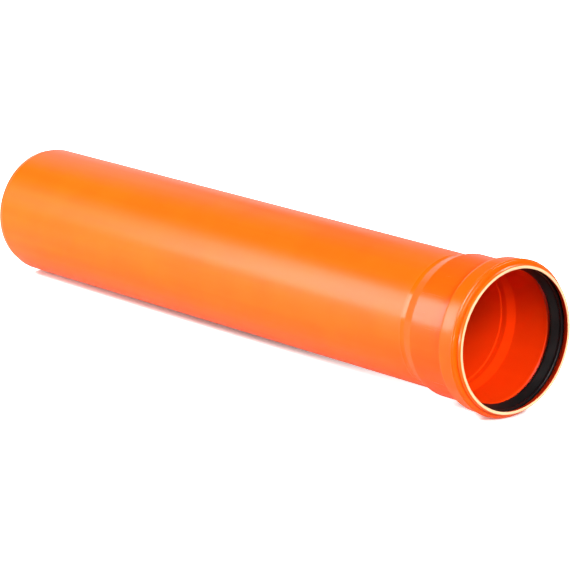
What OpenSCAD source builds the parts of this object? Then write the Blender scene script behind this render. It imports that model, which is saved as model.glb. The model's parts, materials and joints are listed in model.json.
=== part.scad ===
// Socketed polypropylene sewer pipe with its rubber sealing ring, lying on a
// level floor. Millimetres, +Z up, +X towards the socket's mouth.
// Along the pipe, distances are measured back from the plane of the mouth.

/* [Pipe] */
// Outside diameter of the barrel
pipe_d = 110; // [100:0.5:120]
// Wall of the barrel
pipe_wall = 2.7; // [2:0.1:4]
// Length over everything
pipe_length = 606; // [300:1:1200]
// Length of the chamfer at the plain end
tip_length = 6; // [2:0.5:12]
// Depth of the chamfer at the plain end
tip_depth = 1.6; // [0.5:0.1:2.2]

/* [Socket] */
// Bore the next pipe slides into
bore_d = 110.6; // [110:0.1:112]
// Outside diameter of the sleeve
sleeve_d = 116; // [114:0.1:118]
// Where the sleeve starts narrowing outside
sleeve_back = 58.8; // [50:0.1:70]
// Where the barrel's full size is reached outside
neck_back = 69; // [56:0.5:80]
// Where the bore starts narrowing
bore_back = 57; // [48:0.5:66]
// Where the narrowing ends inside
cone_back = 65; // [56:0.5:76]
// Radius just behind that narrowing
seat_r = 52.9; // [52.3:0.05:53.5]
// Where the small inner step brings the barrel's own bore
seat_back = 70.2; // [64:0.1:80]

/* [Ring chamber] */
// Radius of the bead at the front of the chamber
bead_r = 63.4; // [62:0.1:65]
// Rounding of the bead
bead_round = 2.6; // [1:0.1:3]
// Where the bead is highest
bead_at = 6.5; // [5:0.1:9]
// Chamber radius just behind the bead
chamber_front_r = 62.8; // [61:0.1:64]
// Chamber radius at its back
chamber_back_r = 62.3; // [61:0.1:64]
// Where the back of the chamber turns in
chamber_back = 22; // [18:0.1:24]
// Radius of the groove the ring sits in
groove_r = 60.1; // [59:0.1:61]
// Where the groove's full radius begins
groove_front = 6.8; // [5:0.1:8]
// Back of that groove
groove_back = 20; // [16:0.1:22]

/* [Mouth] */
// Inside radius of the lip
lip_in_r = 56.7; // [56:0.1:58]
// Outside radius of the lip
lip_out_r = 59.6; // [58:0.1:61]
// Rounding of the lip's outer edge
lip_round = 1.4; // [0.3:0.1:1.6]
// Where the fine line between the lip and the bead lies
line_at = 3.5; // [2:0.1:4]

/* [Rubber ring] */
// Radius at the ring's front edge
ring_front_r = 57.2; // [56.5:0.1:58]
// Front of the ring
ring_front = 7.3; // [7:0.1:9]
// Where the ring's lip reaches the bore
ring_lip_at = 12; // [9:0.5:16]

/* [Hidden] */
pipe_r = pipe_d / 2;
inner_r = pipe_r - pipe_wall;
bore_r = bore_d / 2;
sleeve_r = sleeve_d / 2;
tip_r = pipe_r - tip_depth;
tip_start = pipe_length - tip_length;
inner_step = 1;         // length of the small step at the end of the seat
edge = 0.3;             // breaking of the lip's inner edge
lip_flare = 0.5;        // how far the lip widens on its way to the fine line
line_depth = 0.6;       // depth of that line below the flared lip
undercut = 0.6;         // how far the lip's inside opens by the fine line
bead_crown = 1.1;       // length of the bead's flat crown
bead_fall = 2;          // where the chamber's own radius starts, behind the bead's top
shoulder = [4, 1.6];    // the chamber's back: its fall to the sleeve, and that fall's length
lead = [1.4, 2.2];      // the chamfer between bore and groove: its depth, and its length
soft = 0.6;             // breaking of the groove's corners
ring_clear = 0.1;       // how far the pressed ring stays outside the bore
ring_heel = 0.8;        // chamfer at the back of the ring

// The pipe touches the floor at the bead and where the chamfer begins, so the
// socket end is held up and the axis leans by this much.
bead_rc = bead_r - bead_round;
rise = [bead_rc - pipe_r, tip_start - bead_at];
lean = atan2(rise[0], rise[1]) + asin(bead_round / norm(rise));
mouth_x = (pipe_length * cos(lean) - (lip_out_r - lip_round - tip_r) * sin(lean)) / 2;
mouth_z = tip_start * sin(lean) + pipe_r * cos(lean);

function arc(x, y, r, a0, a1, n) =
    [for (i = [0:n]) let(a = a0 + (a1 - a0) * i / n) [x + r * cos(a), y + r * sin(a)]];

// Lays a body turned about Z, its mouth at the origin facing +Z, on the floor.
module lay() {
    translate([mouth_x, 0, mouth_z]) rotate([0, 90 - lean, 0]) children();
}

module pipe() {
    color([1.0, 0.45, 0.12])
    lay() rotate_extrude($fn = 180) polygon(concat(
        // mouth and outside of the lip
        [[lip_in_r + edge, 0]],
        arc(lip_out_r - lip_round, -lip_round, lip_round, 90, 0, 3),
        [[lip_out_r + lip_flare, -(line_at - line_depth)],
         [lip_out_r + lip_flare - line_depth, -line_at]],
        // bead
        arc(bead_rc, -bead_at, bead_round, 90, 0, 6),
        // chamber and its shoulder
        [[bead_r, -(bead_at + bead_crown)],
         [chamber_front_r, -(bead_at + bead_fall)],
         [chamber_back_r, -chamber_back],
         [chamber_back_r - shoulder[0], -(chamber_back + shoulder[1])],
         [sleeve_r, -(chamber_back + 2 * shoulder[1])],
        // sleeve and neck
         [sleeve_r, -sleeve_back],
         [pipe_r, -neck_back],
        // barrel and plain end
         [pipe_r, -tip_start],
         [tip_r, -pipe_length],
         [inner_r, -pipe_length],
        // back up the inside
         [inner_r, -(seat_back + inner_step)],
         [seat_r, -seat_back],
         [seat_r, -cone_back],
         [bore_r, -bore_back],
         [bore_r, -(groove_back + lead[1])],
         [bore_r + lead[0], -(groove_back + soft)],
         [groove_r - soft, -groove_back],
         [groove_r, -(groove_back - soft)],
         [groove_r, -groove_front],
         [lip_in_r + undercut, -line_at],
         [lip_in_r, -edge]]
    ));
}

module seal_ring() {
    color([0.06, 0.06, 0.06])
    lay() rotate_extrude($fn = 180) polygon([
        [ring_front_r, -ring_front],
        [groove_r, -ring_front],
        [groove_r, -(groove_back - soft)],
        [groove_r - soft, -groove_back],
        [bore_r + lead[0] + ring_heel, -groove_back],
        [bore_r + ring_clear, -(groove_back - ring_heel)],
        [bore_r + ring_clear, -ring_lip_at]
    ]);
}

pipe();
seal_ring();
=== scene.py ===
"""A socketed polypropylene sewer pipe with its rubber lip ring, lying in a white studio.

Outlines are drawn in millimetres: how far from the pipe's axis, and how far behind the mouth.
"""

import json
import math

import bpy
from mathutils import Matrix, Vector


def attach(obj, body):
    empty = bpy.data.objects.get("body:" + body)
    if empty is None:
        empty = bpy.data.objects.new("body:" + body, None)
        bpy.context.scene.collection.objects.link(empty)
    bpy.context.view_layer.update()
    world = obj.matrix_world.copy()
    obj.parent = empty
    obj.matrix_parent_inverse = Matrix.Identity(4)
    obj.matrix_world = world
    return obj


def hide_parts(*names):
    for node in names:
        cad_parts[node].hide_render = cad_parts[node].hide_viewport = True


MM = 0.001

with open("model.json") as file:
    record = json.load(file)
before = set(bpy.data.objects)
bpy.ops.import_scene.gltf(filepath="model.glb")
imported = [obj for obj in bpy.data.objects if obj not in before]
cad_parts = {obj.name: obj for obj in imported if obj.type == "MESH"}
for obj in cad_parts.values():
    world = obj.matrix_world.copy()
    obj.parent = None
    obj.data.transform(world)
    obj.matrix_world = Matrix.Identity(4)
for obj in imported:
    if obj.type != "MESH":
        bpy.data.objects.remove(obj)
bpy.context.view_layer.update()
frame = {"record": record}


# ---------------------------------------------------------------- where the pipe lies

SOCKET_MIDDLE = 40.0 * MM  # how far behind the mouth the record's socket mount sits


def lying_pipe():
    """The mouth's centre and the matrix that lays a body turned about Z, mouth up, on the floor."""
    socket = next(m for m in frame["record"]["mounts"] if m["name"] == "socket")
    axis = Vector(socket["axis"]).normalized()
    mouth = Vector(socket["pos_m"]) + axis * SOCKET_MIDDLE
    across = Vector((0, 1, 0))
    turn = Matrix((across.cross(axis), across, axis)).transposed().to_4x4()
    return mouth, Matrix.Translation(mouth) @ turn


MOUTH, LIE_DOWN = lying_pipe()
AXIS = LIE_DOWN.to_3x3() @ Vector((0, 0, 1))
LEAN = math.atan2(AXIS.z, AXIS.x)


# ---------------------------------------------------------------- the pipe's sizes, in mm
# names that end in R are radii, and the others are distances behind the mouth

BARREL_R = 55.0
BARREL_IN_R = 52.3
PIPE_LENGTH = 606.0
TIP_START = 600.0
TIP_R = 53.4

SLEEVE_R = 58.0
NECK_FRONT = 58.8
NECK_BACK = 69.0
BORE_R = 55.3
BORE_BACK = 57.0
SEAT_R = 52.9
SEAT_FRONT = 65.0
SEAT_BACK = 70.2

BEAD_R = 63.4
BEAD_AT = 6.5
CHAMBER_FRONT_R = 62.8
CHAMBER_BACK_R = 62.3
CHAMBER_BACK = 22.0
GROOVE_R = 60.1
GROOVE_FRONT = 6.8
GROOVE_BACK = 20.0

LIP_IN_R = 56.7
LIP_OUT_R = 59.6
LINE_AT = 3.5


# ---------------------------------------------------------------- turning an outline

TURN_STEPS = 288  # faces round a turned piece


def corner_reach(before, corner, after, rounding):
    """How far from the corner a rounding of this radius begins."""
    into = (corner - before).normalized()
    away = (after - corner).normalized()
    return rounding * math.tan(into.angle(away) / 2)


def turned_piece(name, outline):
    """Draws a closed outline vertex by vertex, rounds its corners and spins it about Z.

    Each outline entry is (radius, behind the mouth, rounding) in mm. Straight runs get a
    holding vertex beside each rounding, so that long walls shade as true cylinders.
    """
    hold = 0.35
    corners = [Vector((r, 0, -back)) for r, back, _ in outline]
    count = len(corners)
    reach = []
    for i, (_, _, rounding) in enumerate(outline):
        reach.append(corner_reach(corners[i - 1], corners[i], corners[(i + 1) % count], rounding))

    path = []
    for i, corner in enumerate(corners):
        following = corners[(i + 1) % count]
        path.append(corner)
        run = following - corner
        room = run.length - reach[i] - reach[(i + 1) % count]
        if room > 4 * hold:
            along = run.normalized()
            path.append(corner + along * (reach[i] + hold))
            path.append(following - along * (reach[(i + 1) % count] + hold))

    bpy.ops.object.select_all(action="DESELECT")
    bpy.ops.mesh.primitive_plane_add(size=1 * MM, location=path[0] * MM)
    piece = bpy.context.object
    piece.name = name
    bpy.ops.object.transform_apply(location=True, rotation=True, scale=True)
    bpy.ops.object.mode_set(mode="EDIT")
    bpy.ops.mesh.merge(type="CENTER")
    for start, end in zip(path, path[1:] + path[:1]):
        bpy.ops.mesh.extrude_region_move(TRANSFORM_OT_translate={"value": (end - start) * MM})
    bpy.ops.mesh.select_all(action="SELECT")
    bpy.ops.mesh.remove_doubles(threshold=0.01 * MM)

    for corner, (_, _, rounding), far in zip(corners, outline, reach):
        if rounding:
            select_vertices(piece, lambda co: (co - corner * MM).length < 0.02 * MM)
            segments = 8 if rounding >= 1.5 else 5
            bpy.ops.mesh.bevel(offset=far * MM, segments=segments, affect="VERTICES")

    bpy.ops.mesh.select_all(action="SELECT")
    bpy.ops.mesh.spin(
        steps=TURN_STEPS, angle=2 * math.pi, center=(0, 0, 0), axis=(0, 0, 1),
        use_auto_merge=True)
    bpy.ops.mesh.select_all(action="SELECT")
    bpy.ops.mesh.remove_doubles(threshold=0.005 * MM)
    bpy.ops.mesh.normals_make_consistent(inside=False)
    bpy.ops.object.mode_set(mode="OBJECT")
    return piece


def select_vertices(piece, wanted):
    """Selects the vertices whose place passes the test, and nothing else."""
    bpy.ops.mesh.select_mode(type="VERT")
    bpy.ops.mesh.select_all(action="DESELECT")
    bpy.ops.object.mode_set(mode="OBJECT")
    for vertex in piece.data.vertices:
        vertex.select = wanted(vertex.co)
    bpy.ops.object.mode_set(mode="EDIT")


def cut_rings(piece, places):
    """Adds edge rings round the piece at these distances behind the mouth, in mm."""
    bpy.ops.object.mode_set(mode="EDIT")
    for back in places:
        bpy.ops.mesh.select_all(action="SELECT")
        bpy.ops.mesh.bisect(plane_co=(0, 0, -back * MM), plane_no=(0, 0, 1))
    bpy.ops.object.mode_set(mode="OBJECT")


def lay_down(piece):
    """Lays the finished piece on the floor, with its place in its mesh."""
    piece.matrix_world = LIE_DOWN
    bpy.ops.object.select_all(action="DESELECT")
    piece.select_set(True)
    bpy.context.view_layer.objects.active = piece
    bpy.ops.object.transform_apply(location=True, rotation=True, scale=True)
    bpy.ops.object.shade_smooth_by_angle(angle=math.radians(40))


# ---------------------------------------------------------------- the pieces

def make_pipe():
    """The pipe: mouth lip, bead, ring chamber, sleeve, neck, barrel and chamfered plain end."""
    outline = [
        # mouth lip
        (LIP_IN_R, 0, 0.3),
        (LIP_OUT_R, 0, 1.4),
        (LIP_OUT_R + 0.4, 2.7, 0.3),
        (LIP_OUT_R - 0.5, LINE_AT, 0.2),
        # bead and chamber
        (LIP_OUT_R + 1.9, 4.1, 0.5),
        (BEAD_R - 0.8, 5.2, 0.6),
        (BEAD_R - 1.0, 5.9, 0.3),
        (BEAD_R, BEAD_AT, 0.5),
        (BEAD_R, BEAD_AT + 1.1, 0.6),
        (CHAMBER_FRONT_R, BEAD_AT + 2.0, 0.5),
        (CHAMBER_BACK_R, CHAMBER_BACK - 1.8, 0.8),
        (CHAMBER_BACK_R - 0.4, CHAMBER_BACK, 0.5),
        (SLEEVE_R + 0.3, CHAMBER_BACK + 1.6, 0.5),
        (SLEEVE_R, CHAMBER_BACK + 3.2, 1.0),
        # neck
        (SLEEVE_R, NECK_FRONT, 3.0),
        (BARREL_R, NECK_BACK, 1.5),
        # plain end
        (BARREL_R, TIP_START, 1.0),
        (TIP_R, PIPE_LENGTH, 0.25),
        (BARREL_IN_R, PIPE_LENGTH, 0.2),
        # inside
        (BARREL_IN_R, SEAT_BACK + 1.0, 0.35),
        (SEAT_R, SEAT_BACK, 0.35),
        (SEAT_R, SEAT_FRONT, 1.5),
        (BORE_R, BORE_BACK, 2.0),
        (BORE_R, GROOVE_BACK + 2.2, 0.6),
        (BORE_R + 1.4, GROOVE_BACK + 0.6, 0.4),
        (GROOVE_R, GROOVE_BACK, 0.6),
        (GROOVE_R, GROOVE_FRONT, 0.6),
        (LIP_IN_R + 0.6, 3.6, 0.6),
    ]
    pipe = turned_piece("pipe_turned", outline)
    # the barrel's faces are cut into shorter ones
    cut_rings(pipe, range(110, 600, 40))
    lay_down(pipe)
    return pipe


def make_ring():
    """The rubber ring at rest: a body in the groove, a front bead, and a lip leaning inwards."""
    outline = [
        (GROOVE_R - 0.02, 7.4, 0.6),
        (BORE_R + 1.8, 7.3, 0.9),
        (BORE_R + 1.8, 9.3, 0.9),
        (BORE_R + 2.6, 9.9, 0.5),
        (BORE_R + 1.7, 11.4, 1.5),
        (BORE_R - 1.1, 15.7, 0.7),
        (BORE_R - 1.5, 17.4, 0.5),
        (BORE_R - 0.7, 17.7, 0.4),
        (BORE_R + 1.3, 15.6, 0.8),
        (BORE_R + 2.1, 17.6, 0.8),
        (BORE_R + 1.7, 20.2, 0.3),
        (GROOVE_R - 0.02, GROOVE_BACK - 0.02, 0.6),
    ]
    ring = turned_piece("seal_ring_turned", outline)
    lay_down(ring)
    return ring


# ---------------------------------------------------------------- materials

class Value:
    """A node's output, with the operators that the materials' maths uses."""

    def __init__(self, tree, socket):
        self.tree = tree
        self.socket = socket

    def node(self, kind, settings=None, inputs=None, output=0):
        """Adds a node, sets it up, gives its inputs values or links, and returns one output."""
        made = self.tree.nodes.new(kind)
        for key, value in (settings or {}).items():
            if key == "stops":
                ramp = made.color_ramp
                while len(ramp.elements) < len(value):
                    ramp.elements.new(1.0)
                for element, (place, colour) in zip(ramp.elements, value):
                    element.position = place
                    element.color = colour
            else:
                setattr(made, key, value)
        for key, value in (inputs or {}).items():
            if isinstance(value, Value):
                self.tree.links.new(value.socket, made.inputs[key])
            else:
                made.inputs[key].default_value = value
        return Value(self.tree, made.outputs[output])

    def maths(self, operation, *others):
        return self.node(
            "ShaderNodeMath", {"operation": operation}, dict(enumerate((self,) + others)))

    def __add__(self, other):
        return self.maths("ADD", other)

    __radd__ = __add__

    def __mul__(self, other):
        return self.maths("MULTIPLY", other)

    __rmul__ = __mul__

    def __sub__(self, other):
        return self.maths("SUBTRACT", other)

    def __rsub__(self, other):
        return self * -1 + other

    def step(self, low, high):
        """0 below low and 1 above high, smooth between."""
        return self.node(
            "ShaderNodeMapRange",
            {"interpolation_type": "SMOOTHSTEP"},
            {"Value": self, "From Min": low, "From Max": high})

    def part(self, name):
        """X, Y or Z of a vector."""
        return self.node("ShaderNodeSeparateXYZ", None, {0: self}, name)

    def blend(self, first, second):
        """A colour: first where this is 0, second where it is 1."""
        return self.node(
            "ShaderNodeMix", {"data_type": "RGBA"}, {"Factor": self, 6: first, 7: second}, 2)


def new_material(name):
    """An empty material, its Principled surface and the object's own coordinates."""
    material = bpy.data.materials.new(name)
    material.use_nodes = True
    tree = material.node_tree
    surface = tree.nodes["Principled BSDF"]
    place = Value(tree, tree.nodes.new("ShaderNodeTexCoord").outputs["Object"])
    return material, surface, place


def feed(surface, name, value):
    """Links a value to a socket of the surface, or sets a plain number or colour."""
    if isinstance(value, Value):
        value.tree.links.new(value.socket, surface.inputs[name])
    else:
        surface.inputs[name].default_value = value


def along_pipe(place):
    """Coordinates with X along the pipe's axis, 0 at the mouth and negative behind it, in m."""
    return place.node(
        "ShaderNodeMapping",
        {"vector_type": "TEXTURE"},
        {"Vector": place, "Location": MOUTH, "Rotation": (0, -LEAN, 0)})


def nearer(along, back, soft):
    """1 nearer to the mouth than this distance behind it, fading to 0 over the soft edge, in mm."""
    return along.step(-(back + soft) * MM, -back * MM)


def facing_axis(pipe):
    """1 on the surfaces that look towards the pipe's axis, and 0 on the rest."""
    outward = pipe.node("ShaderNodeVectorMath", {"operation": "MULTIPLY"}, {0: pipe, 1: (0, 1, 1)})
    normal = Value(pipe.tree, pipe.tree.nodes.new("ShaderNodeNewGeometry").outputs["Normal"])
    facing = pipe.node(
        "ShaderNodeVectorMath", {"operation": "DOT_PRODUCT"}, {0: outward, 1: normal}, "Value")
    return 1 - facing.step(-5 * MM, 5 * MM)


def noise(place, scale, detail=2.0, stretch=(1, 1, 1)):
    """Noise around 0.5, with features of about 1/scale metres, stretched along an axis."""
    stretched = place.node("ShaderNodeMapping", None, {"Vector": place, "Scale": stretch})
    return place.node(
        "ShaderNodeTexNoise", None, {"Vector": stretched, "Scale": scale, "Detail": detail})


def polypropylene():
    """Satin orange polypropylene with faint lines from extrusion and pale sawn ends."""
    material, surface, place = new_material("orange_polypropylene")
    pipe = along_pipe(place)
    along = pipe.part("X")

    lines = noise(pipe, 900, 3, stretch=(0.02, 1, 1))
    bands = noise(pipe, 120, 2, stretch=(0.03, 1, 1))
    clouds = noise(pipe, 22, 3)
    grain = noise(pipe, 5000, 2)

    # the socket was pressed hot against a smooth mould, so it is shinier, most of all in the crease
    # where the neck leaves the barrel; its sleeve is painted darker, as painted shade behind the
    # chamber
    bore = facing_axis(pipe)
    outer = 1 - bore
    pressed = nearer(along, NECK_BACK + 3.5, 1.5) * outer
    crease = pressed - nearer(along, NECK_BACK, 1.5) * outer
    chamber = nearer(along, CHAMBER_BACK, 2.0) * outer
    sleeve = nearer(along, NECK_FRONT - 1.8, 3.0) * outer - chamber
    streaks = noise(pipe, 170, 3, stretch=(0.05, 1, 1)).step(0.2, 0.8)
    shine = pressed * 0.07 + crease * 0.09 + sleeve * (0.045 - streaks * 0.07)

    tone = (clouds * 0.6 + bands * 0.4).step(0.3, 0.7)
    # painted shade: the sleeve is darker; elsewhere the tone varies at random
    tone_and_sleeve_shade = 0.5 + tone * 0.5 - sleeve * 0.6
    outside = tone_and_sleeve_shade.blend((0.98, 0.078, 0.001, 1), (0.98, 0.110, 0.001, 1))
    # the faces towards the axis take a darker, redder copy of the orange: painted shade inside the
    # pipe
    inside = tone.blend((0.91, 0.040, 0.001, 1), (0.93, 0.048, 0.001, 1))
    # the barrel's own inner wall, behind the socket, is painted darker: painted shade deep in the
    # bore
    deep_bore_shade = 1 - nearer(along, SEAT_BACK - 0.2, 40.0)
    inside = deep_bore_shade.blend(inside, (0.67, 0.027, 0.001, 1))
    # the lip's inner face in front of the ring is painted darker: painted shade beside the ring
    lip_shade = nearer(along, 5.0, 3.0) - nearer(along, 0.5, 0.7)
    inside = lip_shade.blend(inside, (0.42, 0.020, 0.001, 1))
    body = bore.blend(outside, inside)

    mouth_cut = nearer(along, 0.06, 0.16)
    far_cut = 1 - nearer(along, PIPE_LENGTH - 0.5, 0.2)
    cut = mouth_cut.maths("MAXIMUM", far_cut)
    feed(surface, "Base Color", cut.blend(body, (0.91, 0.58, 0.32, 1)))

    roughness = 0.25 + lines * 0.08 + clouds * 0.06 - shine
    feed(surface, "Roughness", roughness + cut * 0.2)

    height = (lines * 0.5 + bands * 0.35) * (1 - pressed * 0.85) + grain * 0.15
    surface_bump = height.node(
        "ShaderNodeBump", None, {"Height": height, "Strength": 1.0, "Distance": 0.03 * MM})
    feed(surface, "Normal", surface_bump)
    feed(surface, "Specular IOR Level", 0.21)
    return material


def ring_rubber():
    """Matt black rubber with a fine moulded grain and a little lubricant on it."""
    material, surface, place = new_material("black_rubber")
    pipe = along_pipe(place)
    smears = noise(pipe, 60, 3)
    grain = noise(pipe, 2500, 3)
    black = smears.step(0.3, 0.7).blend((0.006, 0.005, 0.005, 1), (0.011, 0.008, 0.008, 1))
    feed(surface, "Base Color", black)
    feed(surface, "Roughness", 0.26 + smears * 0.2)
    feed(surface, "Specular IOR Level", 0.20)
    bump = grain.node("ShaderNodeBump", None, {"Height": grain, "Distance": 0.02 * MM})
    feed(surface, "Normal", bump)
    return material


def white_floor():
    """White studio paper that shows plain white to the camera but keeps the pipe's shadow."""
    material = bpy.data.materials.new("white_paper")
    material.use_nodes = True
    tree = material.node_tree
    tree.nodes.clear()
    path = tree.nodes.new("ShaderNodeLightPath").outputs
    seen = Value(tree, path["Is Camera Ray"])
    mirrored = Value(tree, path["Is Glossy Ray"]) + Value(tree, path["Is Transmission Ray"])
    # a black card before the mouth keeps the floor's light out of the bore, unseen by the camera
    place = Value(tree, tree.nodes.new("ShaderNodeTexCoord").outputs["Object"])
    card = place.part("X").step(MOUTH.x + 17 * MM, MOUTH.x + 77 * MM)
    unseen = card.blend((0.54, 0.54, 0.54, 1), (0.04, 0.04, 0.04, 1))
    white = seen.blend(unseen, (1.0, 1.0, 1.0, 1))
    paper = seen.node("ShaderNodeBsdfDiffuse", None, {"Color": white})
    # the lift fades out by ambient occlusion in the narrow gap under the pipe: painted contact
    # shadow over the real one
    open_air = seen.node("ShaderNodeAmbientOcclusion", {"samples": 16}, {"Distance": 11 * MM}, "AO")
    lift = seen.node("ShaderNodeEmission", None, {
        "Color": seen * open_air.step(0.20, 0.45) + mirrored * 0.08,
        "Strength": 1.0})
    both = seen.node("ShaderNodeAddShader", None, {0: paper, 1: lift})
    tree.links.new(both.socket, tree.nodes.new("ShaderNodeOutputMaterial").inputs["Surface"])
    return material


def dress(piece, material, node):
    """Gives a piece its material and its place in the frame."""
    piece.data.materials.clear()
    piece.data.materials.append(material)
    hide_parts(node)
    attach(piece, "root")


# ---------------------------------------------------------------- studio

def lay_floor():
    """A wide white floor."""
    bpy.ops.object.select_all(action="DESELECT")
    bpy.ops.mesh.primitive_plane_add(size=60)
    floor = bpy.context.object
    floor.name = "floor"
    floor.data.materials.append(white_floor())


def softbox(name, place, target, width, height, power):
    """A rectangular lamp at a place, facing a target, all in metres and watts."""
    bpy.ops.object.light_add(type="AREA", location=place)
    lamp = bpy.context.object
    lamp.name = name
    lamp.rotation_euler = (Vector(target) - Vector(place)).to_track_quat("-Z", "Y").to_euler()
    lamp.data.shape = "RECTANGLE"
    lamp.data.size = width
    lamp.data.size_y = height
    lamp.data.energy = power


def light_studio():
    """A softbox beside the pipe makes the long highlight; the rest fill in softly around it."""
    softbox("key", (-0.62, -0.78, 0.46), (0.05, 0.0, 0.06), 0.38, 0.60, 8.8)
    softbox("key_far", (-1.10, -0.66, 0.50), (-0.10, 0.0, 0.06), 0.40, 0.50, 0.8)
    softbox("side", (-0.24, -1.50, 0.16), (-0.20, 0.0, 0.05), 1.0, 0.26, 23.0)
    softbox("front", (1.86, -0.43, 0.97), (0.30, 0.0, 0.06), 0.75, 0.75, 57.0)
    softbox("back", (-0.25, 0.75, 1.20), (0.05, 0.0, 0.05), 0.6, 0.6, 16.5)
    softbox("far", (-1.55, 0.95, 0.40), (0.10, 0.0, 0.06), 1.0, 0.6, 0.9)
    softbox("rear", (-1.70, 0.60, 1.00), (-0.10, 0.0, 0.06), 0.8, 0.45, 1.2)

    world = bpy.data.worlds.new("studio")
    bpy.context.scene.world = world
    world.use_nodes = True
    tree = world.node_tree
    background = tree.nodes["Background"]
    ray = Value(tree, tree.nodes.new("ShaderNodeTexCoord").outputs["Generated"])
    height = ray.part("Z")
    sky = height.node("ShaderNodeValToRGB", {"stops": [
        (0.0, (0.78, 0.78, 0.78, 1)),
        (0.12, (0.62, 0.62, 0.62, 1)),
        (0.42, (0.06, 0.06, 0.06, 1)),
        (1.0, (0.06, 0.06, 0.06, 1))]}, {"Fac": height})
    dim = ray.part("X").step(-0.1, 0.5).blend(sky, (0.05, 0.05, 0.05, 1))
    tree.links.new(dim.socket, background.inputs["Color"])
    background.inputs["Strength"].default_value = 1.05


def set_camera():
    """A long lens looking down along the pipe from its mouth's side."""
    place = Vector((2.1150, -1.7867, 0.7973))
    aim = Vector((0.0144, 0.0112, 0.0465))
    bpy.ops.object.camera_add(location=place)
    camera = bpy.context.object
    camera.rotation_euler = (aim - place).to_track_quat("-Z", "Y").to_euler()
    camera.data.sensor_width = 36.0
    camera.data.lens = 215.37
    camera.data.clip_end = 100.0
    bpy.context.scene.camera = camera


# ---------------------------------------------------------------- the scene

set_camera()
dress(make_pipe(), polypropylene(), "pipe")
dress(make_ring(), ring_rubber(), "seal_ring")
lay_floor()
light_studio()

bpy.context.scene.view_settings.view_transform = "Standard"
